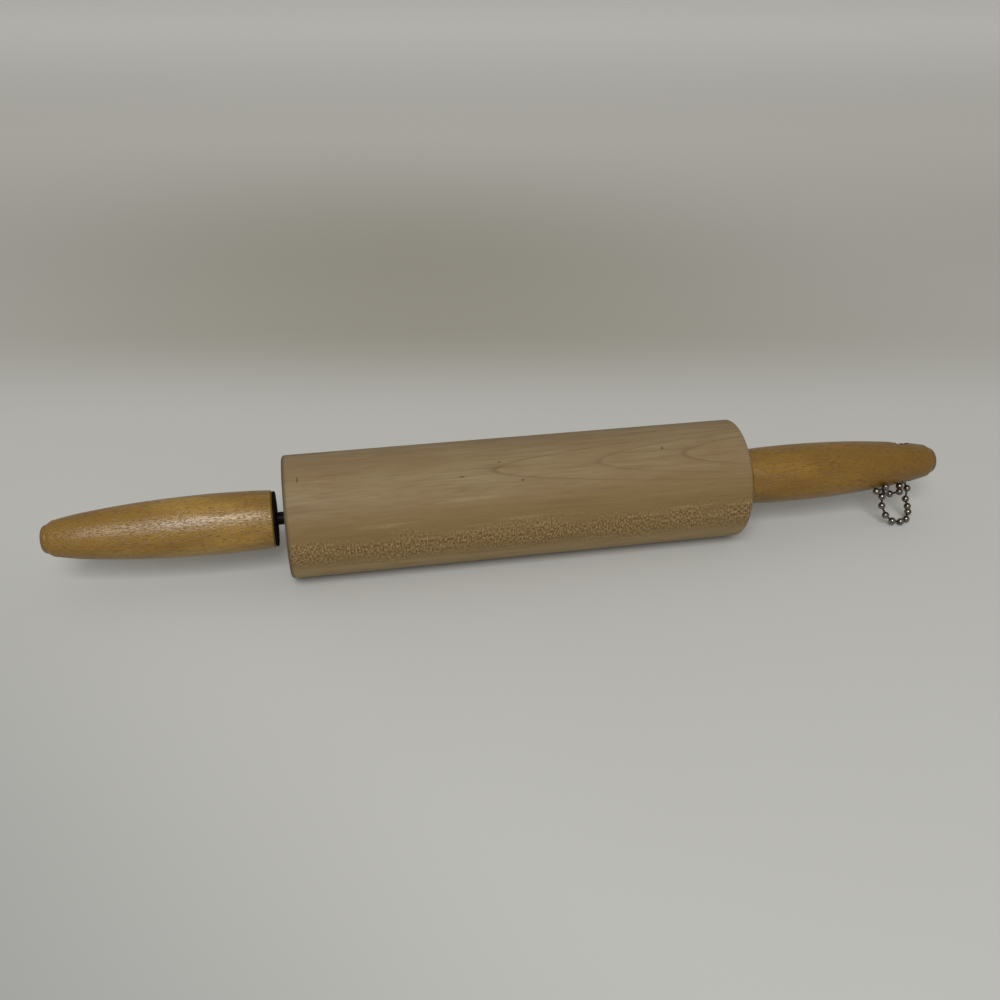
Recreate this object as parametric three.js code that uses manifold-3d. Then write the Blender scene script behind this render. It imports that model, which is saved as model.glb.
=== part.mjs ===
// A wooden rolling pin: a maple barrel that turns on a steel axle rod between two lacquered handles,
// with a bead chain through a hole near the end of the right handle.
// Millimetres. X runs along the pin, Z is up, and the origin is on the surface that the barrel rests on,
// under the middle of the pin.
import * as THREE from "three";
import { mergeVertices } from "three/addons/utils/BufferGeometryUtils.js";
import Module from "manifold-3d";

const wasm = await Module();
wasm.setup();

// Barrel
const barrelDiameter = 67;
const barrelLength = 254;
const barrelEdgeRadius = 2;

// Axle rod and the bushings that the barrel turns on
const rodDiameter = 7;
const rodChamfer = 1;
const bushingDiameter = 14;
const bushingLength = 24;
const flangeDiameter = 22;
const flangeThickness = 2;
const boreSlack = 1;

// Handles, each turned from one piece of wood and measured from its inner face
const handleLength = 114;
const innerDiameter = 31.2;
const innerChamfer = 0.8;
const swellDiameter = 32.5;
const swellFromInnerFace = 12.3;
const bellyDiameter = 33;
const bellyFromInnerFace = 36.8;
const gripDiameter = 30.6;
const gripFromShoulder = 46;
const neckDiameter = 24.8;
const neckFromShoulder = 16;
const shoulderDiameter = 19.2;
const shoulderLength = 2.2;
const nubDiameter = 15.4;
const nubLength = 3.4;
const nubEdgeRadius = 3;
const nubStep = 0.5;

// Collar on the inner face of each handle, and the threaded insert that holds the rod in the wood
const collarDiameter = 30;
const collarThickness = 1.2;
const spigotDiameter = 12;
const spigotLength = 14;
const insertLength = 20;
const insertDepth = 64;

// Play and clearances
const endPlay = 5.2;
const axleSag = 0.45;
const runningClearance = 0.25;
const fitClearance = 0.2;
const seatGap = 0.2;

// Bead chain, and the stepped hole with a recess that its connector lies in
const beadDiameter = 4.3;
const linkDiameter = 1.1;
const linkGap = 0.2;
const cupDiameter = 4.7;
const cupSpacing = 4.7;
const waistDiameter = 2.2;
const chainHoleDiameter = 9.5;
const chainHoleFromTip = 21.2;
const chainHoleTilt = THREE.MathUtils.degToRad(28);
const recessDiameter = 12.4;
const connectorDepth = 0.4;
const beadsInHole = 4;
const strandOffset = 2.35;
const strandTop = 4.3;
const rightStrandPitch = 5;
const leftStrandPitch = 4.75;

// The chain's free route as bead centres from the middle of its hole: out of the lower mouth, round the ring
// that touches the resting surface, over the curl that leans on the handle and back to the lower mouth
const freeRoute = [
  [4.5, -6.9, -14.1],
  [3.3, -9.5, -19.8],
  [3.2, -13.0, -22.8],
  [4.7, -12.5, -27.1],
  [2.8, -15.0, -30.4],
  [-1.8, -16.9, -30.7],
  [-7.5, -17.1, -29.5],
  [-12.2, -16.5, -25.4],
  [-14.5, -14.3, -19.9],
  [-15.5, -14.2, -13.7],
  [-19.5, -13.9, -10.0],
  [-14.9, -15.0, -6.9],
  [-12.4, -11.6, -11.7],
  [-8.4, -10.3, -14.7],
  [-4.4, -13.5, -11.9],
  [-2.2, -9.1, -10.8],
];

// Numbers of facets round each kind of piece
const barrelFacets = 48;
const handleFacets = 32;
const bearingFacets = 28;
const rodFacets = 24;
const beadFacets = 8;
const cornerSteps = 3;
const beadSteps = 5;
const outlineSteps = 11;

// Derived places along X, from the middle of the pin
const axisHeight = barrelDiameter / 2;
const axleHeight = axisHeight - axleSag;
const barrelEnd = barrelLength / 2;
const collarFace = barrelEnd + endPlay;
const handleInnerFace = collarFace + collarThickness + seatGap;
const handleTipLength = handleLength + shoulderLength + nubLength;
const rodEnd = handleInnerFace + insertDepth;
const chainHoleAlong = handleTipLength - chainHoleFromTip;
const handleBoreDiameter = spigotDiameter + 2 * fitClearance;

// Materials
const maple = new THREE.MeshStandardMaterial({ color: 0xc2a883, roughness: 0.6, metalness: 0 });
const lacqueredWood = new THREE.MeshStandardMaterial({ color: 0xb88a45, roughness: 0.35, metalness: 0 });
const blackNylon = new THREE.MeshStandardMaterial({ color: 0x14120f, roughness: 0.5, metalness: 0 });
const blackSteel = new THREE.MeshStandardMaterial({ color: 0x1c1b1a, roughness: 0.4, metalness: 1 });
const zincSteel = new THREE.MeshStandardMaterial({ color: 0x9a9a98, roughness: 0.35, metalness: 1 });
const nickel = new THREE.MeshStandardMaterial({ color: 0x8f8a80, roughness: 0.2, metalness: 1 });

// The corner radius of a faceted bore whose flats lie at the given radius
function boreCorner(radius, facets) {
  return radius / Math.cos(Math.PI / facets);
}

function point(radius, along) {
  return new THREE.Vector2(radius, along);
}

// Points of an arc in a turned profile, with angles measured from the radial direction
function arc(centreRadius, centreAlong, arcRadius, fromAngle, toAngle, steps) {
  const points = [];
  for (let step = 0; step <= steps; step += 1) {
    const angle = fromAngle + ((toAngle - fromAngle) * step) / steps;
    points.push(point(centreRadius + arcRadius * Math.cos(angle), centreAlong + arcRadius * Math.sin(angle)));
  }
  return points;
}

// A solid turned about the X axis, with a flat facet underneath
function turned(profile, facets) {
  const geometry = new THREE.LatheGeometry(profile, facets, Math.PI / facets);
  geometry.rotateZ(-Math.PI / 2);
  return geometry;
}

function ring(profile, facets) {
  return turned([...profile, profile[0].clone()], facets);
}

function solidOf(geometry) {
  const bare = new THREE.BufferGeometry();
  bare.setAttribute("position", geometry.getAttribute("position"));
  bare.setIndex(geometry.getIndex());
  const merged = mergeVertices(bare);
  const vertProperties = merged.getAttribute("position").array;
  const triVerts = new Uint32Array(merged.getIndex().array);
  return new wasm.Manifold(new wasm.Mesh({ numProp: 3, vertProperties, triVerts }));
}

function geometryOf(solid) {
  const mesh = solid.getMesh();
  const geometry = new THREE.BufferGeometry();
  geometry.setAttribute("position", new THREE.BufferAttribute(mesh.vertProperties, mesh.numProp));
  geometry.setIndex(new THREE.BufferAttribute(mesh.triVerts, 1));
  geometry.computeVertexNormals();
  return geometry;
}

function part(name, geometry, material) {
  const mesh = new THREE.Mesh(geometry, material);
  mesh.name = name;
  return mesh;
}

// Barrel: rounded outer edges, a clear bore for the rod and a stepped seat for the bushing at each end
function barrelGeometry() {
  const outer = boreCorner(barrelDiameter / 2, barrelFacets);
  const bore = boreCorner(rodDiameter / 2 + axleSag + boreSlack, barrelFacets);
  const seat = boreCorner(bushingDiameter / 2 + runningClearance, barrelFacets);
  const recess = boreCorner(flangeDiameter / 2 + runningClearance, barrelFacets);
  const seatFloor = barrelEnd - bushingLength - seatGap;
  const recessFloor = barrelEnd - flangeThickness - seatGap;
  const edgeCentre = barrelEnd - barrelEdgeRadius;
  const rim = outer - barrelEdgeRadius;
  return ring(
    [
      ...arc(rim, -edgeCentre, barrelEdgeRadius, -Math.PI / 2, 0, cornerSteps),
      ...arc(rim, edgeCentre, barrelEdgeRadius, 0, Math.PI / 2, cornerSteps),
      point(recess, barrelEnd),
      point(recess, recessFloor),
      point(seat, recessFloor),
      point(seat, seatFloor),
      point(bore, seatFloor),
      point(bore, -seatFloor),
      point(seat, -seatFloor),
      point(seat, -recessFloor),
      point(recess, -recessFloor),
      point(recess, -barrelEnd),
    ],
    barrelFacets,
  );
}

// Bushing: a flanged sleeve, flush with the end of the barrel. It slides along the rod, which lies low in its
// wide bore, and the barrel turns on it.
function bushingGeometry() {
  const bore = boreCorner(rodDiameter / 2 + axleSag + runningClearance, bearingFacets);
  const flangeBack = barrelEnd - flangeThickness;
  const sleeveEnd = barrelEnd - bushingLength;
  return ring(
    [
      point(bore, sleeveEnd),
      point(bushingDiameter / 2, sleeveEnd),
      point(bushingDiameter / 2, flangeBack),
      point(flangeDiameter / 2, flangeBack),
      point(flangeDiameter / 2, barrelEnd),
      point(bore, barrelEnd),
    ],
    bearingFacets,
  );
}

// Axle rod: one straight rod from the bottom of the left handle's bore to the bottom of the right one's
function rodGeometry() {
  const radius = rodDiameter / 2;
  return turned(
    [
      point(0, -rodEnd),
      point(radius - rodChamfer, -rodEnd),
      point(radius, -rodEnd + rodChamfer),
      point(radius, rodEnd - rodChamfer),
      point(radius - rodChamfer, rodEnd),
      point(0, rodEnd),
    ],
    rodFacets,
  );
}

// The handle's side, from the chamfer at its inner face to the shoulder
function handleOutline() {
  return new THREE.SplineCurve([
    point(innerDiameter / 2, innerChamfer),
    point(swellDiameter / 2, swellFromInnerFace),
    point(bellyDiameter / 2, bellyFromInnerFace),
    point(gripDiameter / 2, handleLength - gripFromShoulder),
    point(neckDiameter / 2, handleLength - neckFromShoulder),
    point(shoulderDiameter / 2, handleLength),
  ]);
}

// Handle: a blind bore for the collar's spigot, the rod and the insert, and a domed nub on the outer end
function handleGeometry() {
  const bore = boreCorner(handleBoreDiameter / 2, handleFacets);
  const boreFloor = insertDepth + seatGap;
  const nubBase = handleLength + shoulderLength;
  const nubCentre = handleTipLength - nubEdgeRadius;
  const nubRim = nubDiameter / 2 - nubEdgeRadius;
  return turned(
    [
      point(0, boreFloor),
      point(bore, boreFloor),
      point(bore, 0),
      point(innerDiameter / 2 - innerChamfer, 0),
      ...handleOutline().getPoints(outlineSteps),
      point(nubDiameter / 2 + nubStep, nubBase),
      point(nubDiameter / 2, nubBase),
      ...arc(nubRim, nubCentre, nubEdgeRadius, 0, Math.PI / 2, cornerSteps),
      point(0, handleTipLength),
    ],
    handleFacets,
  );
}

// The handle's radius at a distance from its inner face
function handleRadiusAt(along) {
  const points = handleOutline().getPoints(outlineSteps);
  const next = points.findIndex((outlinePoint) => outlinePoint.y >= along);
  const before = points[next - 1];
  const after = points[next];
  return THREE.MathUtils.mapLinear(along, before.y, after.y, before.x, after.x);
}

// Direction of the chain hole, from its lower mouth at the front to its upper mouth at the back
function chainHoleDirection() {
  return new THREE.Vector3(0, Math.sin(chainHoleTilt), Math.cos(chainHoleTilt));
}

// Distance of the connector from the handle's axis, where its cups lie just below the wood
function connectorHeight() {
  return handleRadiusAt(chainHoleAlong) - connectorDepth - cupDiameter / 2;
}

// How far the wood falls away from the connector's left cup to its right cup
function connectorFall() {
  return handleRadiusAt(chainHoleAlong - cupSpacing / 2) - handleRadiusAt(chainHoleAlong + cupSpacing / 2);
}

// Direction of the connector from its left cup to its right cup, which follows the taper of the wood
function connectorDirection() {
  return chainHoleDirection().multiplyScalar(-connectorFall()).setX(cupSpacing).normalize();
}

// Cutter for the chain hole: straight through the handle's axis, with a wider recess at both mouths
function chainHoleCutter() {
  const holeRadius = boreCorner(chainHoleDiameter / 2, bearingFacets);
  const recessRadius = boreCorner(recessDiameter / 2, bearingFacets);
  const recessFloor = connectorHeight() - connectorFall() / 2 - cupDiameter / 2 - seatGap;
  const reach = bellyDiameter;
  const cutter = turned(
    [
      point(0, -reach),
      point(recessRadius, -reach),
      point(recessRadius, -recessFloor),
      point(holeRadius, -recessFloor),
      point(holeRadius, recessFloor),
      point(recessRadius, recessFloor),
      point(recessRadius, reach),
      point(0, reach),
    ],
    bearingFacets,
  );
  const turn = new THREE.Quaternion().setFromUnitVectors(new THREE.Vector3(1, 0, 0), chainHoleDirection());
  cutter.applyQuaternion(turn);
  cutter.translate(chainHoleAlong, 0, 0);
  return cutter;
}

function drilledHandleGeometry() {
  return geometryOf(solidOf(handleGeometry()).subtract(solidOf(chainHoleCutter())));
}

// Collar: a black disc against the inner face of the handle, with a spigot that centres the rod in the bore
function collarGeometry() {
  const bore = boreCorner(rodDiameter / 2 + fitClearance, bearingFacets);
  const seat = collarFace + collarThickness;
  return ring(
    [
      point(bore, collarFace),
      point(collarDiameter / 2, collarFace),
      point(collarDiameter / 2, seat),
      point(spigotDiameter / 2, seat),
      point(spigotDiameter / 2, seat + spigotLength),
      point(bore, seat + spigotLength),
    ],
    bearingFacets,
  );
}

// Insert: the steel sleeve at the bottom of the handle's bore that the rod screws into
function insertGeometry() {
  const bore = boreCorner(rodDiameter / 2 + fitClearance, bearingFacets);
  return ring(
    [
      point(bore, rodEnd - insertLength),
      point(spigotDiameter / 2, rodEnd - insertLength),
      point(spigotDiameter / 2, rodEnd),
      point(bore, rodEnd),
    ],
    bearingFacets,
  );
}

// What one end of the pin has on the axle, built for the right end
function axleEnd(side, handle) {
  const end = new THREE.Group();
  const handleMesh = part(`${side}_handle`, handle, lacqueredWood);
  handleMesh.position.x = handleInnerFace;
  end.add(handleMesh);
  end.add(part(`${side}_handle_collar`, collarGeometry(), blackNylon));
  end.add(part(`${side}_rod_insert`, insertGeometry(), zincSteel));
  return end;
}

// A bead with the link wire that leaves it towards the next piece of the chain, along +X
function beadGeometry(linkReach) {
  const radius = beadDiameter / 2;
  const linkRadius = linkDiameter / 2;
  const linkAngle = Math.acos(linkRadius / radius);
  return turned(
    [
      point(0, -radius),
      ...arc(0, 0, radius, -Math.PI / 2, linkAngle, beadSteps).slice(1),
      point(linkRadius, linkReach),
      point(0, linkReach),
    ],
    beadFacets,
  );
}

// The connector that closes the chain: two cups for its end beads, joined by a waist
function connectorGeometry() {
  const radius = cupDiameter / 2;
  const waist = waistDiameter / 2;
  const cupCentre = cupSpacing / 2;
  const waistAngle = Math.acos(waist / radius);
  return turned(
    [
      ...arc(0, -cupCentre, radius, -Math.PI / 2, waistAngle, beadSteps),
      ...arc(0, cupCentre, radius, -waistAngle, Math.PI / 2, beadSteps),
    ],
    beadFacets,
  );
}

// A piece of the chain that stands at one point and looks along a direction
function chainPiece(name, geometry, at, direction) {
  const mesh = part(name, geometry, nickel);
  mesh.position.copy(at);
  mesh.quaternion.setFromUnitVectors(new THREE.Vector3(1, 0, 0), direction.clone().normalize());
  return mesh;
}

// One strand in the hole, from the bead nearest to the connector downwards
function strandInHole(offset, pitch) {
  const strand = [];
  for (let bead = 0; bead < beadsInHole; bead += 1) {
    const at = chainHoleDirection().multiplyScalar(strandTop - bead * pitch);
    at.x = offset;
    strand.push(at);
  }
  return strand;
}

// Bead chain: a closed loop that hangs from its connector through the hole, one bead at each point of its route
function beadChain() {
  const chain = new THREE.Group();
  const connectorAt = chainHoleDirection().multiplyScalar(connectorHeight());
  const leftCup = connectorAt.clone().addScaledVector(connectorDirection(), -cupSpacing / 2);
  const beads = [
    ...strandInHole(strandOffset, rightStrandPitch),
    ...freeRoute.map((coordinates) => new THREE.Vector3(...coordinates)),
    ...strandInHole(-strandOffset, leftStrandPitch).reverse(),
  ];
  beads.forEach((at, index) => {
    const isLast = index === beads.length - 1;
    const next = isLast ? leftCup : beads[index + 1];
    const nextRadius = (isLast ? cupDiameter : beadDiameter) / 2;
    const direction = next.clone().sub(at);
    const linkReach = direction.length() - nextRadius - linkGap;
    const name = `chain_bead_${String(index + 1).padStart(2, "0")}`;
    chain.add(chainPiece(name, beadGeometry(linkReach), at, direction));
  });
  chain.add(chainPiece("chain_connector", connectorGeometry(), connectorAt, connectorDirection()));
  return chain;
}

// Assembly: the barrel and its bushings on the barrel's axis, and everything on the axle a little below it
const roller = new THREE.Group();
const rightBushing = part("right_bushing", bushingGeometry(), blackNylon);
const leftBushing = part("left_bushing", bushingGeometry(), blackNylon);
leftBushing.rotation.z = Math.PI;
roller.add(part("barrel", barrelGeometry(), maple));
roller.add(rightBushing, leftBushing);
roller.position.z = axisHeight;

const axle = new THREE.Group();
const rightEnd = axleEnd("right", drilledHandleGeometry());
const leftEnd = axleEnd("left", handleGeometry());
leftEnd.rotation.z = Math.PI;
const chain = beadChain();
chain.position.x = handleInnerFace + chainHoleAlong;
axle.add(part("axle_rod", rodGeometry(), blackSteel));
axle.add(rightEnd, leftEnd, chain);
axle.position.z = axleHeight;

const rollingPin = new THREE.Group();
rollingPin.add(roller, axle);

export default rollingPin;
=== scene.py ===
# A wooden rolling pin: the finish of every surface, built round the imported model.
# Metres. X runs along the pin, Z is up, and the barrel rests on the floor at Z = 0.
import math

import bmesh
import bpy
from mathutils import Matrix, Vector


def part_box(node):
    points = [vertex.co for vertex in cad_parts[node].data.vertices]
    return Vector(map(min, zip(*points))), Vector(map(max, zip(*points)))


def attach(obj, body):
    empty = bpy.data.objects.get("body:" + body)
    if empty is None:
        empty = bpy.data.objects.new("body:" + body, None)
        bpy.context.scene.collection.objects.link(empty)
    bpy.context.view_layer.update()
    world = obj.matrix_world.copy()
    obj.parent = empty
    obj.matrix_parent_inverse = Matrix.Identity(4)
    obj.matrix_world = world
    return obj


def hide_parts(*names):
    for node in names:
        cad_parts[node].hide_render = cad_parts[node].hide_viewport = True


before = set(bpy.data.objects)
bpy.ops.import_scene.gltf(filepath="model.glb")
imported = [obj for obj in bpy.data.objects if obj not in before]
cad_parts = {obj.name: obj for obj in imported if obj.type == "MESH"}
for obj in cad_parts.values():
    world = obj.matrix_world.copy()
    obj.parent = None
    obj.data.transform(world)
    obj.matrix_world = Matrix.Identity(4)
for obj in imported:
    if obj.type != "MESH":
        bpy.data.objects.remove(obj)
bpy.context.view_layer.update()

# Places taken from the solids
barrel_low, barrel_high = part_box("barrel")
BARREL_END = barrel_high.x
BARREL_RADIUS = (barrel_high.z - barrel_low.z) / 2
BARREL_AXIS = (barrel_high.z + barrel_low.z) / 2
handle_low, handle_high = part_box("right_handle")
HANDLE_FACE = handle_low.x
HANDLE_TIP = handle_high.x
AXLE_AXIS = (handle_high.z + handle_low.z) / 2
COLLAR_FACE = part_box("right_handle_collar")[0].x
ROD_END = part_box("axle_rod")[1].x

# Barrel, rod and bearings
BARREL_EDGE = 0.002
ROD_RADIUS = 0.0035
ROD_CHAMFER = 0.001
BARREL_BORE = 0.00495
BUSHING_RADIUS = 0.007
BUSHING_LENGTH = 0.024
BUSHING_BORE = 0.0042
FLANGE_RADIUS = 0.011
FLANGE_THICKNESS = 0.002
FLANGE_EDGE = 0.0004
BEARING_GAP = 0.0002

# Handles and collars; a pair is a radius and its distance from the handle's inner face
HANDLE_LENGTH = 0.114
INNER_RADIUS = 0.0156
INNER_CHAMFER = 0.0008
SWELL = (0.01625, 0.0123)
BELLY = (0.0165, 0.0368)
GRIP = (0.0153, 0.068)
NECK = (0.0124, 0.098)
SHOULDER_RADIUS = 0.0096
SHOULDER_LENGTH = 0.0022
SHOULDER_ROUND = 0.0016
NUB_RADIUS = 0.0077
NUB_STEP = 0.0005
NUB_EDGE = 0.003
HANDLE_BORE = 0.0062
HANDLE_BORE_DEPTH = 0.0642
COLLAR_RADIUS = 0.015
COLLAR_THICKNESS = 0.0012
COLLAR_EDGE = 0.0004
SPIGOT_RADIUS = 0.006
SPIGOT_LENGTH = 0.014
COLLAR_BORE = 0.0037

# Bead chain and its stepped hole
BEAD_RADIUS = 0.00215
LINK_RADIUS = 0.00055
LINK_MATERIAL_INDEX = 1
CUP_RADIUS = 0.00235
CUP_SPACING = 0.0047
WAIST_RADIUS = 0.0011
HOLE_RADIUS = 0.00475
HOLE_FROM_TIP = 0.0212
HOLE_TILT = math.radians(28)
RECESS_RADIUS = 0.0062
RECESS_FLOOR = 0.0067
CONNECTOR_HEIGHT = 0.0096
CONNECTOR_FALL = 0.0007
BEADS_IN_HOLE = 4
STRAND_OFFSET = 0.00235
STRAND_TOP = 0.0043
RIGHT_STRAND_PITCH = 0.005
LEFT_STRAND_PITCH = 0.00475

# The chain's free route as bead centres from the middle of its hole
FREE_ROUTE = [
    (0.0045, -0.0069, -0.0141),
    (0.0033, -0.0095, -0.0198),
    (0.0032, -0.0130, -0.0228),
    (0.0047, -0.0125, -0.0271),
    (0.0028, -0.0150, -0.0304),
    (-0.0018, -0.0169, -0.0307),
    (-0.0075, -0.0171, -0.0295),
    (-0.0122, -0.0165, -0.0254),
    (-0.0145, -0.0143, -0.0199),
    (-0.0155, -0.0142, -0.0137),
    (-0.0195, -0.0139, -0.0100),
    (-0.0149, -0.0150, -0.0069),
    (-0.0124, -0.0116, -0.0117),
    (-0.0084, -0.0103, -0.0147),
    (-0.0044, -0.0135, -0.0119),
    (-0.0022, -0.0091, -0.0108),
]

# Camera and light
CAMERA_PLACE = Vector((-0.1012, -0.5036, 0.3227))
CAMERA_TARGET = Vector((-0.0094, 0.0, 0.0321))
CAMERA_LENS = 37.8
SENSOR_WIDTH = 36.0
LAMP_PLACE = Vector((-0.64, -2.29, 2.2))
LAMP_TARGET = Vector((0.0, 0.0, 0.0))
LAMP_SIZE = 1.6
LAMP_POWER = 80.0
LAMP_COLOUR = (0.98, 1.0, 1.03)
WORLD_STRENGTH = 0.39
WORLD_COLOUR = (1.0, 0.97, 0.91, 1.0)

# Fineness of the forms
TURNED_SEGMENTS = 160
SMALL_SEGMENTS = 64
BEAD_SEGMENTS = 24
BEAD_STEPS = 12
OUTLINE_STEPS = 60
CORNER_STEPS = 8
SHARP_ANGLE = math.radians(40)
ON_AXIS = 1e-7

# Growth rings of the barrel: the heart of the tree, its slope, and where the arches end
ARCH_ANGLE = math.radians(34)
HEART_DISTANCE = 0.15
HEART_SLOPE = 0.02335
RING_SPACING = 0.0012
RING_WOBBLE = 0.0002
ARCH_TIP = -0.0131
BEND_HEIGHT = -0.000104
BEND_SPAN = 0.1028
FAINT_RINGS_END = -0.055
CLEAR_RINGS_START = -0.028

# Darkness across one ring, as pairs of a place from 0 to 1 and how dark it is
RING_LINE = [(0.0, 0.7), (0.03, 0.0), (0.7, 0.0), (0.93, 0.3), (0.98, 1.0), (1.0, 0.8)]

# Tones of the barrel: a warmer honey tone with painted shade over its lower front, and painted bounce
# light on the pale foot below the ray flecks
HONEY_START = 0.05 * BARREL_RADIUS
HONEY_FULL = 0.75 * BARREL_RADIUS
FOOT_START = 0.31 * BARREL_RADIUS
FOOT_FULL = -0.03 * BARREL_RADIUS
FOOT_SIDE_FULL = 0.5 * BARREL_RADIUS

# Ray flecks of the barrel, and painted shade along the edge of its left end
RAY_BAND_ANGLE = math.radians(66)
RAY_BAND_OUTSIDE = math.radians(22.5)
RAY_BAND_INSIDE = math.radians(1.5)
RAY_BAND_RAGGEDNESS = 0.7
FLECKS_ALONG = 1150.0
FLECKS_AROUND = 600.0
LEFT_EDGE_SHADE_START = 0.0026
LEFT_EDGE_SHADE_FULL = 0.0006

# Single marks in the barrel: place along it, place around from the arches, half length along and around
WOOD_MARKS = [
    (-0.1189, -0.0044, 0.0006, 0.0024),
    (-0.0335, 0.0022, 0.0022, 0.0006),
    (-0.0126, -0.0050, 0.0012, 0.0006),
    (-0.0014, 0.0068, 0.0015, 0.0007),
    (0.0781, -0.0052, 0.0011, 0.0010),
]

# Deep tone of the handles by distance from the pin's middle, and darker end grain with painted shade by
# distance from the tip
DEEP_TONE_START = 0.18
DEEP_TONE_FULL = 0.24
TIP_DARKENING_START = 0.0045
TIP_DARKENING_FULL = 0.001

# The floor's painted shade and painted light, by distance behind the pin, beside it, or towards the near
# left
FLOOR_REACH = 5.0
PAINTED_SHADOW_START = 0.16
PAINTED_SHADOW_FULL = 0.36
PAINTED_SHADOW_HALF_WIDTH = 0.6
DISTANCE_START = 0.5
DISTANCE_FULL = 1.3
HORIZON_START = 1.0
HORIZON_FULL = 3.2
NEAR_LEFT = (-0.8, -0.6, 0.0)
NEAR_LEFT_START = 0.15
NEAR_LEFT_FULL = 0.45

# The range that holds most values of a noise, and its middle
NOISE_LOW = 0.3
NOISE_HIGH = 0.7
NOISE_MIDDLE = 0.5

# Sockets of a mix node that take and give colours
MIX_FIRST = 6
MIX_SECOND = 7
MIX_RESULT = 2

ALONG_PIN = (1.0, 0.0, 0.0)


def linear(red, green, blue):
    """A colour as the eye sees it, from 0 to 255, as the linear colour that shaders take (sRGB curve)."""
    channels = []
    for channel in (red, green, blue):
        share = channel / 255
        channels.append(share / 12.92 if share <= 0.04045 else ((share + 0.055) / 1.055) ** 2.4)
    return (*channels, 1.0)


class Finish:
    """A material made of nodes, with one short call for each kind of node that the finishes here use."""

    def __init__(self, name):
        self.material = bpy.data.materials.new(name)
        self.material.use_nodes = True
        self.tree = self.material.node_tree
        self.surface = self.tree.nodes["Principled BSDF"]
        self.place = self.tree.nodes.new("ShaderNodeTexCoord").outputs["Object"]

    def feed(self, socket, value):
        """Links a node's result to a socket, or sets a constant on it."""
        if isinstance(value, bpy.types.NodeSocket):
            self.tree.links.new(value, socket)
        else:
            socket.default_value = value

    def node(self, kind, inputs, **settings):
        made = self.tree.nodes.new(kind)
        for key, value in settings.items():
            setattr(made, key, value)
        for key, value in inputs.items():
            self.feed(made.inputs[key], value)
        return made

    def set(self, **values):
        """Sets inputs of the surface by their names."""
        sockets = {socket.name.lower(): socket for socket in self.surface.inputs}
        for name, value in values.items():
            self.feed(sockets[name.replace("_", " ")], value)

    def math(self, operation, first, second=0.0, third=0.0):
        inputs = {0: first, 1: second, 2: third}
        return self.node("ShaderNodeMath", inputs, operation=operation).outputs[0]

    def vector(self, operation, first, second):
        return self.node("ShaderNodeVectorMath", {0: first, 1: second}, operation=operation)

    def moved(self, place, offset):
        return self.vector("ADD", place, offset).outputs["Vector"]

    def dot(self, place, direction):
        return self.vector("DOT_PRODUCT", place, direction).outputs["Value"]

    def join(self, first, second):
        """A place from two measures on a surface."""
        return self.node("ShaderNodeCombineXYZ", {0: first, 1: second}).outputs["Vector"]

    def noise(self, place, detail=2.0, roughness=0.5):
        inputs = {"Vector": place, "Scale": 1.0, "Detail": detail, "Roughness": roughness}
        return self.node("ShaderNodeTexNoise", inputs).outputs[0]

    def grain(self, place, along, across, detail=2.0, roughness=0.5):
        """Noise with its own fineness along the pin and across it."""
        scaled = self.vector("MULTIPLY", place, (along, across, across)).outputs["Vector"]
        return self.noise(scaled, detail, roughness)

    def ranged(self, value, start, end, least=0.0, most=1.0):
        """Least on the start's side, most on the end's side, and a soft change between them."""
        inputs = {"Value": value, "From Min": start, "From Max": end, "To Min": least, "To Max": most}
        return self.node("ShaderNodeMapRange", inputs, interpolation_type="SMOOTHSTEP").outputs["Result"]

    def ramp(self, value, stops):
        """A grey that passes through the stops, each a place from 0 to 1 and a tone."""
        made = self.node("ShaderNodeValToRGB", {"Fac": value})
        elements = made.color_ramp.elements
        while len(elements) < len(stops):
            elements.new(1.0)
        for element, (position, grey) in zip(elements, stops):
            element.position = position
            element.color = (grey, grey, grey, 1.0)
        return made.outputs["Color"]

    def mix(self, factor, first, second):
        inputs = {"Factor": factor, MIX_FIRST: first, MIX_SECOND: second}
        return self.node("ShaderNodeMix", inputs, data_type="RGBA").outputs[MIX_RESULT]

    def roughen(self, grain, smoothest, roughest):
        """Lets the surface's roughness follow a grain."""
        self.set(roughness=self.ranged(grain, NOISE_LOW, NOISE_HIGH, smoothest, roughest))

    def bump(self, height, strength, distance):
        inputs = {"Height": height, "Strength": strength, "Distance": distance}
        self.set(normal=self.node("ShaderNodeBump", inputs).outputs["Normal"])


def growth_rings(finish, place, along, depth, side):
    """Dark lines where the barrel's surface cuts the rings round the heart of the tree."""
    from_heart = finish.math("ADD", depth, HEART_DISTANCE)
    depth_square = finish.math("MULTIPLY", from_heart, from_heart)
    radius = finish.math("SQRT", finish.math("MULTIPLY_ADD", side, side, depth_square))
    sloped = finish.math("MULTIPLY_ADD", along, HEART_SLOPE, radius)
    past_tip = finish.math("SUBTRACT", along, ARCH_TIP)
    bend = finish.math("SINE", finish.math("MULTIPLY", past_tip, math.pi / BEND_SPAN))
    bent = finish.math("MULTIPLY_ADD", bend, BEND_HEIGHT, sloped)
    unevenness = finish.grain(place, along=9.0, across=70.0, detail=3.0)
    wobble = finish.math("SUBTRACT", unevenness, NOISE_MIDDLE)
    grown = finish.math("MULTIPLY_ADD", wobble, RING_WOBBLE, bent)
    first_ring = BARREL_RADIUS + HEART_DISTANCE + HEART_SLOPE * ARCH_TIP
    rings = finish.math("DIVIDE", finish.math("SUBTRACT", grown, first_ring), RING_SPACING)
    lines = finish.ramp(finish.math("FRACT", rings), RING_LINE)
    faint_end = (FAINT_RINGS_END - ARCH_TIP) * HEART_SLOPE / RING_SPACING
    clear_start = (CLEAR_RINGS_START - ARCH_TIP) * HEART_SLOPE / RING_SPACING
    clearness = finish.ranged(rings, faint_end, clear_start, least=0.1, most=0.6)
    fading = finish.ranged(finish.grain(place, along=22.0, across=120.0), 0.3, 0.6, least=0.7)
    return finish.math("MULTIPLY", lines, finish.math("MULTIPLY", clearness, fading))


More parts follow.
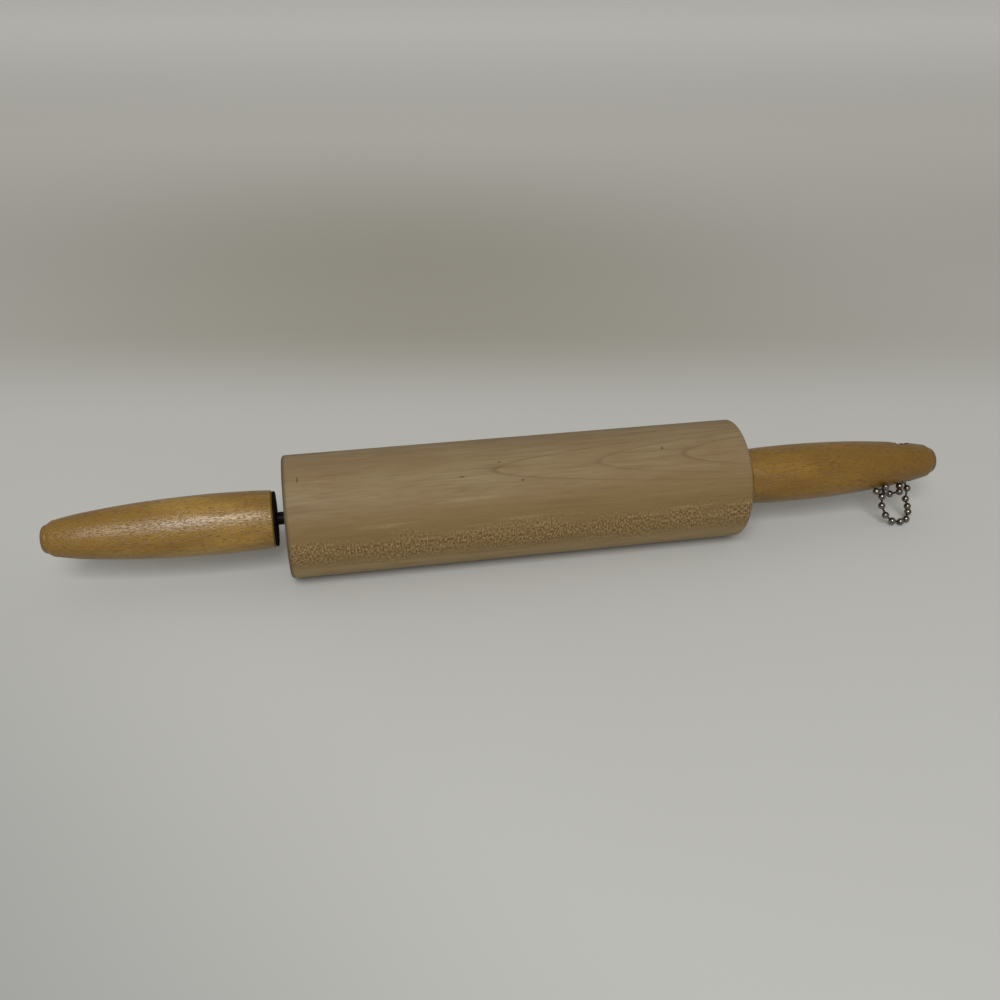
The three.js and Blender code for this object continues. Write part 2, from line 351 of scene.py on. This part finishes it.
def ray_flecks(finish, place, along, angle, around):
    """Dark and light flecks in a ragged band on each side of the arches."""
    from_band = finish.math("SUBTRACT", finish.math("ABSOLUTE", angle), RAY_BAND_ANGLE)
    unevenness = finish.grain(place, along=45.0, across=110.0, detail=3.0)
    patches = finish.math("SUBTRACT", unevenness, NOISE_MIDDLE)
    ragged = finish.math("MULTIPLY_ADD", patches, RAY_BAND_RAGGEDNESS, from_band)
    band = finish.ranged(finish.math("ABSOLUTE", ragged), RAY_BAND_OUTSIDE, RAY_BAND_INSIDE)
    fleck_along = finish.math("MULTIPLY", along, FLECKS_ALONG)
    fleck_around = finish.math("MULTIPLY", around, FLECKS_AROUND)
    flecks = finish.noise(finish.join(fleck_along, fleck_around), detail=1.0)
    dark = finish.math("MULTIPLY", band, finish.ranged(flecks, NOISE_MIDDLE, 0.66))
    light = finish.math("MULTIPLY", band, finish.ranged(flecks, NOISE_MIDDLE, 0.36))
    return dark, light


def wood_marks(finish, along, around):
    """Small oval spots at the places of the single marks."""
    marks = 0.0
    for mark_along, mark_around, half_along, half_around in WOOD_MARKS:
        off_along = finish.math("DIVIDE", finish.math("SUBTRACT", along, mark_along), half_along)
        off_around = finish.math("DIVIDE", finish.math("SUBTRACT", around, mark_around), half_around)
        around_square = finish.math("MULTIPLY", off_around, off_around)
        reach = finish.math("MULTIPLY_ADD", off_along, off_along, around_square)
        marks = finish.math("MAXIMUM", marks, finish.ranged(reach, 1.0, 0.1))
    return marks


def maple_finish():
    """Pale maple with growth-ring arches, partly a warmer honey tone and partly painted shade towards its
    lower front, painted bounce light at its foot, and painted shade along its left end edge.
    """
    finish = Finish("maple")
    place = finish.moved(finish.place, (0.0, 0.0, -BARREL_AXIS))
    along = finish.dot(place, ALONG_PIN)
    depth = finish.dot(place, (0.0, -math.sin(ARCH_ANGLE), math.cos(ARCH_ANGLE)))
    side = finish.dot(place, (0.0, -math.cos(ARCH_ANGLE), -math.sin(ARCH_ANGLE)))
    angle = finish.math("ARCTAN2", side, depth)
    around = finish.math("MULTIPLY", angle, BARREL_RADIUS)

    fibres = finish.grain(place, along=70.0, across=1100.0, detail=3.0, roughness=0.6)
    streaks = finish.grain(place, along=20.0, across=380.0, detail=4.0, roughness=0.6)
    clouds = finish.grain(place, along=16.0, across=34.0)
    ring_lines = growth_rings(finish, place, along, depth, side)
    dark_flecks, light_flecks = ray_flecks(finish, place, along, angle, around)
    marks = wood_marks(finish, along, around)
    # The lower front is partly a warmer honey tone of the wood and partly painted shade
    lower_front = finish.ranged(side, HONEY_START, HONEY_FULL)
    # Painted bounce light: the foot below the ray flecks is mixed towards a paler colour
    below_band = finish.ranged(depth, FOOT_START, FOOT_FULL)
    foot = finish.math("MULTIPLY", below_band, finish.ranged(side, 0.0, FOOT_SIDE_FULL))
    # Painted shade along the edge of the barrel's left end
    from_left_end = finish.math("ADD", along, BARREL_END)
    painted_left_edge_shade = finish.ranged(from_left_end, LEFT_EDGE_SHADE_START, LEFT_EDGE_SHADE_FULL, most=0.8)

    pale = linear(130, 112, 82)
    warm = linear(125, 103, 73)
    honey = linear(117, 95, 59)
    light_streak = linear(146, 129, 97)
    # Colour of the painted bounce light on the foot
    painted_bounce_light = linear(146, 124, 86)
    streak_brown = linear(104, 84, 54)
    line_brown = linear(95, 73, 46)
    fleck_light = linear(154, 128, 87)
    fleck_brown = linear(80, 57, 28)
    end_brown = linear(76, 69, 57)
    colour = finish.mix(finish.ranged(clouds, 0.35, 0.68), pale, warm)
    # Painted shade, in a warmer honey tone, over the lower front
    colour = finish.mix(lower_front, colour, honey)
    colour = finish.mix(foot, colour, painted_bounce_light)
    colour = finish.mix(finish.ranged(streaks, 0.45, 0.25, most=0.4), colour, light_streak)
    colour = finish.mix(finish.ranged(streaks, 0.5, 0.8, most=0.6), colour, streak_brown)
    colour = finish.mix(finish.ranged(fibres, 0.45, 0.75, most=0.45), colour, streak_brown)
    colour = finish.mix(ring_lines, colour, line_brown)
    colour = finish.mix(finish.math("MULTIPLY", light_flecks, 0.7), colour, fleck_light)
    colour = finish.mix(finish.math("MULTIPLY", dark_flecks, 0.75), colour, fleck_brown)
    colour = finish.mix(finish.math("MULTIPLY", marks, 0.75), colour, fleck_brown)
    # Painted shade at the left end edge
    colour = finish.mix(painted_left_edge_shade, colour, end_brown)
    finish.set(base_color=colour, specular_ior_level=0.2)
    finish.roughen(fibres, 0.55, 0.65)
    relief = finish.math("MULTIPLY_ADD", dark_flecks, -0.6, fibres)
    finish.bump(relief, strength=0.12, distance=0.0004)
    return finish.material


def lacquered_wood_finish(name, pale, deep, shift):
    """Amber lacquer over open-pored wood; shift moves the figure, so that the two handles differ."""
    finish = Finish(name)
    place = finish.moved(finish.place, (shift, 0.0, shift))
    clouds = finish.grain(place, along=24.0, across=60.0, detail=3.0)
    streaks = finish.grain(place, along=26.0, across=520.0, detail=3.0, roughness=0.6)
    pores = finish.grain(place, along=330.0, across=2300.0, detail=1.5)
    crowding = finish.grain(place, along=40.0, across=120.0)
    pore_marks = finish.ranged(finish.math("MULTIPLY_ADD", crowding, 0.15, pores), 0.6, 0.72)
    speckle = finish.grain(place, along=900.0, across=1900.0)
    from_middle = finish.math("ABSOLUTE", finish.dot(finish.place, ALONG_PIN))
    deep_end = finish.ranged(from_middle, DEEP_TONE_START, DEEP_TONE_FULL, most=0.9)
    # The nub at the tip is darker, partly end grain and partly painted shade
    tip_darkening_start = HANDLE_TIP - TIP_DARKENING_START
    tip_darkening_full = HANDLE_TIP - TIP_DARKENING_FULL
    tip_grain_and_shade = finish.ranged(from_middle, tip_darkening_start, tip_darkening_full, most=0.45)

    pore_brown = linear(80, 52, 14)
    end_brown = linear(84, 56, 30)
    colour = finish.mix(finish.ranged(clouds, NOISE_LOW, NOISE_HIGH), pale, deep)
    colour = finish.mix(deep_end, colour, deep)
    colour = finish.mix(finish.ranged(streaks, 0.42, 0.75, most=0.8), colour, deep)
    colour = finish.mix(finish.ranged(speckle, 0.5, 0.75, most=0.35), colour, pore_brown)
    colour = finish.mix(finish.math("MULTIPLY", pore_marks, 0.55), colour, pore_brown)
    # Darker end grain and painted shade at the tip
    colour = finish.mix(tip_grain_and_shade, colour, end_brown)
    finish.set(base_color=colour, specular_ior_level=0.56)
    finish.roughen(streaks, 0.24, 0.36)
    relief = finish.math("MULTIPLY_ADD", pore_marks, -0.7, finish.math("ADD", speckle, streaks))
    finish.bump(relief, strength=0.5, distance=0.0003)
    return finish.material


def black_nylon_finish():
    finish = Finish("black_nylon")
    specks = finish.grain(finish.place, along=900.0, across=900.0)
    colour = finish.mix(specks, linear(9, 8, 7), linear(19, 16, 14))
    finish.set(base_color=colour, specular_ior_level=0.03)
    finish.roughen(specks, 0.5, 0.65)
    finish.bump(specks, strength=0.1, distance=0.0002)
    return finish.material


def rod_steel_finish():
    """Black oxide with fine rings from turning."""
    finish = Finish("rod_steel")
    rings = finish.grain(finish.place, along=2600.0, across=60.0)
    stains = finish.grain(finish.place, along=160.0, across=220.0, detail=3.0)
    colour = finish.mix(finish.ranged(stains, 0.4, 0.7), linear(16, 12, 11), linear(30, 23, 19))
    finish.set(base_color=colour, specular_ior_level=0.08)
    finish.roughen(rings, 0.35, 0.5)
    finish.bump(rings, strength=0.1, distance=0.0001)
    return finish.material


def insert_steel_finish():
    finish = Finish("insert_steel")
    spangle = finish.grain(finish.place, along=500.0, across=500.0, detail=3.0)
    colour = finish.mix(spangle, linear(140, 142, 144), linear(176, 177, 176))
    finish.set(base_color=colour, metallic=1.0)
    finish.roughen(spangle, 0.28, 0.42)
    return finish.material


def bead_nickel_finish():
    finish = Finish("bead_nickel")
    tarnish = finish.grain(finish.place, along=420.0, across=420.0, detail=3.0)
    scuffs = finish.grain(finish.place, along=2400.0, across=2400.0)
    colour = finish.mix(finish.ranged(tarnish, 0.35, 0.7), linear(132, 125, 115), linear(96, 89, 80))
    finish.set(base_color=colour, metallic=1.0)
    finish.roughen(scuffs, 0.1, 0.22)
    return finish.material


def link_steel_finish():
    finish = Finish("link_steel")
    stains = finish.grain(finish.place, along=700.0, across=700.0, detail=3.0)
    colour = finish.mix(stains, linear(44, 39, 33), linear(66, 59, 50))
    finish.set(base_color=colour, metallic=1.0)
    finish.roughen(stains, 0.3, 0.45)
    return finish.material


def floor_finish():
    """A pale floor with painted shade at the near left, a painted shadow in a warm stretch behind the pin,
    and painted light that makes it paler far away.
    """
    finish = Finish("floor")
    clouds = finish.grain(finish.place, along=5.0, across=5.0)
    behind = finish.dot(finish.place, tuple(view_heading()))
    aside = finish.math("ABSOLUTE", finish.dot(finish.place, ALONG_PIN))
    narrowing = finish.ranged(aside, PAINTED_SHADOW_HALF_WIDTH, 0.0, least=0.4)
    # Painted shadow in a warm stretch behind the pin, narrower away from its middle
    painted_shadow = finish.math("MULTIPLY", finish.ranged(behind, PAINTED_SHADOW_START, PAINTED_SHADOW_FULL), narrowing)
    # Painted light that makes the floor paler with distance, making up for the lamp's falloff
    distance = finish.ranged(behind, DISTANCE_START, DISTANCE_FULL)
    horizon = finish.ranged(behind, HORIZON_START, HORIZON_FULL)
    # Painted shade towards the near left
    near_left = finish.ranged(finish.dot(finish.place, NEAR_LEFT), NEAR_LEFT_START, NEAR_LEFT_FULL)
    colour = finish.mix(clouds, linear(193, 193, 189), linear(189, 188, 183))
    colour = finish.mix(near_left, colour, linear(150, 150, 147))
    colour = finish.mix(painted_shadow, colour, linear(160, 156, 144))
    colour = finish.mix(distance, colour, linear(205, 203, 197))
    colour = finish.mix(horizon, colour, linear(250, 250, 248))
    finish.set(base_color=colour, roughness=0.7)
    return finish.material


def arc(centre_radius, centre_along, arc_radius, start, end, steps=CORNER_STEPS):
    """Points of a round corner in a turned profile, with angles from the outward direction."""
    points = []
    for step in range(steps + 1):
        angle = start + (end - start) * step / steps
        radius = centre_radius + arc_radius * math.cos(angle)
        points.append((radius, centre_along + arc_radius * math.sin(angle)))
    return points


def rounded_corner(before, corner, after, radius):
    """A corner of a profile between two straight stretches, rounded off."""
    corner = Vector(corner)
    first = (Vector(before) - corner).normalized()
    second = (Vector(after) - corner).normalized()
    half = first.angle(second) / 2
    setback = radius / math.tan(half)
    centre = corner + (first + second).normalized() * radius / math.sin(half)
    start = corner + first * setback - centre
    end = corner + second * setback - centre
    turn = start.angle_signed(end)
    points = []
    for step in range(CORNER_STEPS + 1):
        offset = start.copy()
        offset.rotate(Matrix.Rotation(-turn * step / CORNER_STEPS, 2))
        points.append(tuple(centre + offset))
    return points


def smooth_curve(points, steps):
    """A curve that passes evenly through the points."""
    knots = [Vector(point) for point in points]
    curve = []
    for step in range(steps + 1):
        reach = step / steps * (len(knots) - 1)
        index = min(int(reach), len(knots) - 2)
        share = reach - index
        start, end = knots[index], knots[index + 1]
        before = knots[max(index - 1, 0)]
        after = knots[min(index + 2, len(knots) - 1)]
        leaving = (end - before) / 2
        arriving = (after - start) / 2
        squared, cubed = share**2, share**3
        place = (2 * cubed - 3 * squared + 1) * start + (cubed - 2 * squared + share) * leaving
        place += (3 * squared - 2 * cubed) * end + (cubed - squared) * arriving
        curve.append(tuple(place))
    return curve


def add_turned(shape, profile, segments, transform):
    """Adds a form turned about X to a mesh; its profile runs from axis to axis, or closes on itself."""
    rings = []
    for radius, along in profile:
        if radius < ON_AXIS:
            rings.append([shape.verts.new(transform @ Vector((along, 0.0, 0.0)))])
            continue
        ring = []
        for segment in range(segments):
            angle = 2 * math.pi * segment / segments
            spot = Vector((along, radius * math.cos(angle), radius * math.sin(angle)))
            ring.append(shape.verts.new(transform @ spot))
        rings.append(ring)
    pairs = list(zip(rings, rings[1:]))
    closes_on_itself = len(rings[0]) > 1
    if closes_on_itself:
        pairs.append((rings[-1], rings[0]))
    made = []
    for first, second in pairs:
        for segment in range(segments):
            following = (segment + 1) % segments
            corners = [first[segment % len(first)], first[following % len(first)]]
            corners += [second[following % len(second)], second[segment % len(second)]]
            made.append(shape.faces.new(list(dict.fromkeys(corners))))
    return made


def soften(mesh):
    """Shades curves softly and leaves corners crisp."""
    mesh.polygons.foreach_set("use_smooth", [True] * len(mesh.polygons))
    mesh.set_sharp_from_angle(angle=SHARP_ANGLE)


def piece_from(shape, name, material):
    """An object from a finished mesh."""
    bmesh.ops.recalc_face_normals(shape, faces=shape.faces)
    mesh = bpy.data.meshes.new(name)
    shape.to_mesh(mesh)
    shape.free()
    soften(mesh)
    mesh.materials.append(material)
    piece = bpy.data.objects.new(name, mesh)
    bpy.context.scene.collection.objects.link(piece)
    return piece


def turned_piece(name, profile, segments, height, material, mirrored=False):
    """A turned piece on an axis at one height; mirrored puts it at the left end of the pin."""
    side = Matrix.Rotation(math.pi, 4, "Z") if mirrored else Matrix.Identity(4)
    shape = bmesh.new()
    add_turned(shape, profile, segments, Matrix.Translation((0.0, 0.0, height)) @ side)
    return piece_from(shape, name, material)


def fit(piece, body, slot, *nodes):
    """Lets a piece ride on its body in place of the solids that it stands for."""
    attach(piece, body)
    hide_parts(*nodes)
    return piece


def look_from(thing, place, target):
    """Puts a camera or a lamp at one place, aimed at another."""
    thing.location = place
    thing.rotation_euler = (target - place).to_track_quat("-Z", "Y").to_euler()
    bpy.context.scene.collection.objects.link(thing)


def view_heading():
    """The way the camera looks, level with the floor."""
    heading = CAMERA_TARGET - CAMERA_PLACE
    return Vector((heading.x, heading.y, 0.0)).normalized()


def make_camera():
    lens = bpy.data.cameras.new("camera")
    lens.lens = CAMERA_LENS
    lens.sensor_width = SENSOR_WIDTH
    camera = bpy.data.objects.new("camera", lens)
    look_from(camera, CAMERA_PLACE, CAMERA_TARGET)
    bpy.context.scene.camera = camera


def hole_direction():
    """The way up through the chain's hole, leaning away from the camera."""
    return Vector((0.0, math.sin(HOLE_TILT), math.cos(HOLE_TILT)))


def hole_middle():
    return Vector((HANDLE_TIP - HOLE_FROM_TIP, 0.0, AXLE_AXIS))


def facing_from(start, end):
    """The placing that puts a turned form at one point, looking at another."""
    return Matrix.Translation(start) @ (end - start).to_track_quat("X", "Z").to_matrix().to_4x4()


def strand_in_hole(offset, pitch):
    """Bead centres of one strand in the hole, from the connector downwards."""
    middle = hole_middle() + Vector((offset, 0.0, 0.0))
    return [middle + hole_direction() * (STRAND_TOP - pitch * bead) for bead in range(BEADS_IN_HOLE)]


def chain_route():
    """Bead centres from the connector down one strand, round the free loop and up the other strand."""
    route = strand_in_hole(STRAND_OFFSET, RIGHT_STRAND_PITCH)
    route += [hole_middle() + Vector(spot) for spot in FREE_ROUTE]
    route += reversed(strand_in_hole(-STRAND_OFFSET, LEFT_STRAND_PITCH))
    return route


def make_beads(route, material, link_material):
    """One bead at each point of the route, and a short link wire from each to the next."""
    bead = arc(0.0, 0.0, BEAD_RADIUS, -math.pi / 2, math.pi / 2, BEAD_STEPS)
    shape = bmesh.new()
    for start, end in zip(route, route[1:] + [route[-1] + hole_direction()]):
        placing = facing_from(start, end)
        add_turned(shape, bead, BEAD_SEGMENTS, placing)
        if start is not route[-1]:
            reach = (end - start).length
            link = [(0.0, 0.0), (LINK_RADIUS, 0.0), (LINK_RADIUS, reach), (0.0, reach)]
            for face in add_turned(shape, link, BEAD_SEGMENTS, placing):
                face.material_index = LINK_MATERIAL_INDEX
    chain = piece_from(shape, "bead_chain", material)
    chain.data.materials.append(link_material)
    nodes = [f"chain_bead_{number:02d}" for number in range(1, len(route) + 1)]
    return fit(chain, "axle", "bead_nickel", *nodes)


def make_connector(material):
    """The coupling in the upper recess: two cups that meet at a waist."""
    waist_angle = math.acos(WAIST_RADIUS / CUP_RADIUS)
    cups = arc(0.0, -CUP_SPACING / 2, CUP_RADIUS, -math.pi / 2, waist_angle, BEAD_STEPS)
    cups += arc(0.0, CUP_SPACING / 2, CUP_RADIUS, -waist_angle, math.pi / 2, BEAD_STEPS)
    seat = hole_middle() + hole_direction() * CONNECTOR_HEIGHT
    lean = Vector((CUP_SPACING, 0.0, 0.0)) - hole_direction() * CONNECTOR_FALL
    shape = bmesh.new()
    add_turned(shape, cups, BEAD_SEGMENTS, facing_from(seat, seat + lean))
    coupling = piece_from(shape, "chain_coupling", material)
    return fit(coupling, "axle", "bead_nickel", "chain_connector")


def make_chain(material, link_material):
    """The bead chain as one piece, with the connector that closes it."""
    route = chain_route()
    chain = make_beads(route, material, link_material)
    connector = make_connector(material)


def make_barrel(material):
    """The barrel with rounded end edges, bored through, with a seat and a recess for each bushing."""
    edge_middle = BARREL_END - BARREL_EDGE
    rim = BARREL_RADIUS - BARREL_EDGE
    seat = BUSHING_RADIUS + BEARING_GAP
    recess = FLANGE_RADIUS + BEARING_GAP
    seat_floor = BARREL_END - BUSHING_LENGTH - BEARING_GAP
    recess_floor = BARREL_END - FLANGE_THICKNESS - BEARING_GAP
    half = [(BARREL_BORE, seat_floor), (seat, seat_floor), (seat, recess_floor), (recess, recess_floor)]
    half.append((recess, BARREL_END))
    left = [(radius, -along) for radius, along in half]
    profile = arc(rim, -edge_middle, BARREL_EDGE, -math.pi / 2, 0.0)
    profile += arc(rim, edge_middle, BARREL_EDGE, 0.0, math.pi / 2)
    profile += list(reversed(half)) + left
    piece = turned_piece("barrel_wood", profile, TURNED_SEGMENTS, BARREL_AXIS, material)
    fit(piece, "barrel", "maple", "barrel")


def make_bushings(material):
    """A flanged sleeve in each end of the barrel."""
    flange_back = BARREL_END - FLANGE_THICKNESS
    sleeve_end = BARREL_END - BUSHING_LENGTH
    profile = [(BUSHING_BORE, sleeve_end), (BUSHING_RADIUS, sleeve_end), (BUSHING_RADIUS, flange_back)]
    profile.append((FLANGE_RADIUS, flange_back))
    profile += arc(FLANGE_RADIUS - FLANGE_EDGE, BARREL_END - FLANGE_EDGE, FLANGE_EDGE, 0.0, math.pi / 2)
    profile.append((BUSHING_BORE, BARREL_END))
    for side in ("left", "right"):
        name = f"{side}_flanged_bushing"
        piece = turned_piece(name, profile, SMALL_SEGMENTS, BARREL_AXIS, material, side == "left")
        fit(piece, "bushings", "black_nylon", f"{side}_bushing")


def make_rod(material):
    """A plain rod with a chamfer at each end."""
    half = [(ROD_RADIUS, ROD_END - ROD_CHAMFER), (ROD_RADIUS - ROD_CHAMFER, ROD_END), (0.0, ROD_END)]
    profile = [(radius, -along) for radius, along in reversed(half)] + half
    piece = turned_piece("turned_rod", profile, SMALL_SEGMENTS, AXLE_AXIS, material)
    fit(piece, "axle", "rod_steel", "axle_rod")


def handle_profile():
    """The handle's bore, its belly and taper, the rounded shoulder and the domed nub, at the right end."""
    shoulder = (SHOULDER_RADIUS, HANDLE_LENGTH)
    nub_base = HANDLE_LENGTH + SHOULDER_LENGTH
    tip = HANDLE_TIP - HANDLE_FACE
    ledge = (NUB_RADIUS + NUB_STEP, nub_base)
    outline = [(INNER_RADIUS, INNER_CHAMFER), SWELL, BELLY, GRIP, NECK, shoulder]
    side = smooth_curve(outline, OUTLINE_STEPS)[:-1]
    profile = [(0.0, HANDLE_BORE_DEPTH), (HANDLE_BORE, HANDLE_BORE_DEPTH), (HANDLE_BORE, 0.0)]
    profile.append((INNER_RADIUS - INNER_CHAMFER, 0.0))
    profile += side
    profile += rounded_corner(side[-1], shoulder, ledge, SHOULDER_ROUND)
    profile += [ledge, (NUB_RADIUS, nub_base)]
    profile += arc(NUB_RADIUS - NUB_EDGE, tip - NUB_EDGE, NUB_EDGE, 0.0, math.pi / 2)
    profile.append((0.0, tip))
    return [(radius, HANDLE_FACE + along) for radius, along in profile]


def drill_chain_hole(handle):
    """Cuts the stepped hole for the chain, with its wide recess at both mouths."""
    reach = 2 * BELLY[0]
    lower = [(0.0, -reach), (RECESS_RADIUS, -reach)]
    lower += [(RECESS_RADIUS, -RECESS_FLOOR), (HOLE_RADIUS, -RECESS_FLOOR)]
    upper = [(radius, -along) for radius, along in reversed(lower)]
    placing = facing_from(hole_middle(), hole_middle() + hole_direction())
    shape = bmesh.new()
    add_turned(shape, lower + upper, SMALL_SEGMENTS, placing)
    drill = piece_from(shape, "drill", handle.data.materials[0])
    cut = handle.modifiers.new("chain_hole", "BOOLEAN")
    cut.operation = "DIFFERENCE"
    cut.solver = "EXACT"
    cut.object = drill
    bpy.context.view_layer.update()
    graph = bpy.context.evaluated_depsgraph_get()
    drilled = bpy.data.meshes.new_from_object(handle.evaluated_get(graph))
    handle.modifiers.clear()
    handle.data = drilled
    bpy.data.objects.remove(drill)
    soften(drilled)


def make_handles(left_material, right_material):
    """Two handles of one profile, the right one drilled for the chain."""
    profile = handle_profile()
    left = turned_piece("left_turned_handle", profile, TURNED_SEGMENTS, AXLE_AXIS, left_material, True)
    right = turned_piece("right_turned_handle", profile, TURNED_SEGMENTS, AXLE_AXIS, right_material)
    drill_chain_hole(right)
    fit(left, "axle", "lacquered_wood", "left_handle")
    fit(right, "axle", "lacquered_wood", "right_handle")


def make_collars(material):
    """A thin disc on the inner face of each handle, with a spigot in the handle's bore."""
    seat = COLLAR_FACE + COLLAR_THICKNESS
    edge = COLLAR_RADIUS - COLLAR_EDGE
    profile = [(COLLAR_BORE, COLLAR_FACE)]
    profile += arc(edge, COLLAR_FACE + COLLAR_EDGE, COLLAR_EDGE, -math.pi / 2, 0.0)
    profile += [(COLLAR_RADIUS, seat), (SPIGOT_RADIUS, seat)]
    profile += [(SPIGOT_RADIUS, seat + SPIGOT_LENGTH), (COLLAR_BORE, seat + SPIGOT_LENGTH)]
    for side in ("left", "right"):
        name = f"{side}_collar"
        piece = turned_piece(name, profile, SMALL_SEGMENTS, AXLE_AXIS, material, side == "left")
        fit(piece, "axle", "black_nylon", f"{side}_handle_collar")


def finish_inserts(material):
    """Gives the rod inserts, which stay as solids, their material."""
    for side in ("left", "right"):
        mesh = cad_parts[f"{side}_rod_insert"].data
        mesh.materials.clear()
        mesh.materials.append(material)


def make_stage():
    """A pale floor, square to the camera."""
    ahead = view_heading() * FLOOR_REACH
    aside = Vector((ahead.y, -ahead.x, 0.0))
    shape = bmesh.new()
    corners = (-ahead - aside, -ahead + aside, ahead + aside, ahead - aside)
    shape.faces.new([shape.verts.new(corner) for corner in corners])
    piece_from(shape, "floor", floor_finish())


def make_light():
    """One soft lamp above and behind the camera, in an even and slightly warm surround."""
    lamp = bpy.data.lights.new("front_lamp", "AREA")
    lamp.size = LAMP_SIZE
    lamp.energy = LAMP_POWER
    lamp.color = LAMP_COLOUR
    look_from(bpy.data.objects.new("front_lamp", lamp), LAMP_PLACE, LAMP_TARGET)
    world = bpy.data.worlds.new("studio")
    world.use_nodes = True
    background = world.node_tree.nodes["Background"]
    background.inputs["Color"].default_value = WORLD_COLOUR
    background.inputs["Strength"].default_value = WORLD_STRENGTH
    bpy.context.scene.world = world
    bpy.context.scene.view_settings.view_transform = "Standard"


make_camera()
make_chain(bead_nickel_finish(), link_steel_finish())
make_barrel(maple_finish())
black_nylon = black_nylon_finish()
make_bushings(black_nylon)
make_collars(black_nylon)
make_rod(rod_steel_finish())
make_handles(
    lacquered_wood_finish("left_lacquered_wood", linear(153, 118, 46), linear(124, 90, 18), shift=0.0),
    # The right handle's deeper amber is partly its own tone and partly painted shade, as it takes less
    # light
    lacquered_wood_finish("right_lacquered_wood", linear(133, 97, 14), linear(111, 78, 4), shift=0.7),
)
finish_inserts(insert_steel_finish())
make_stage()
make_light()
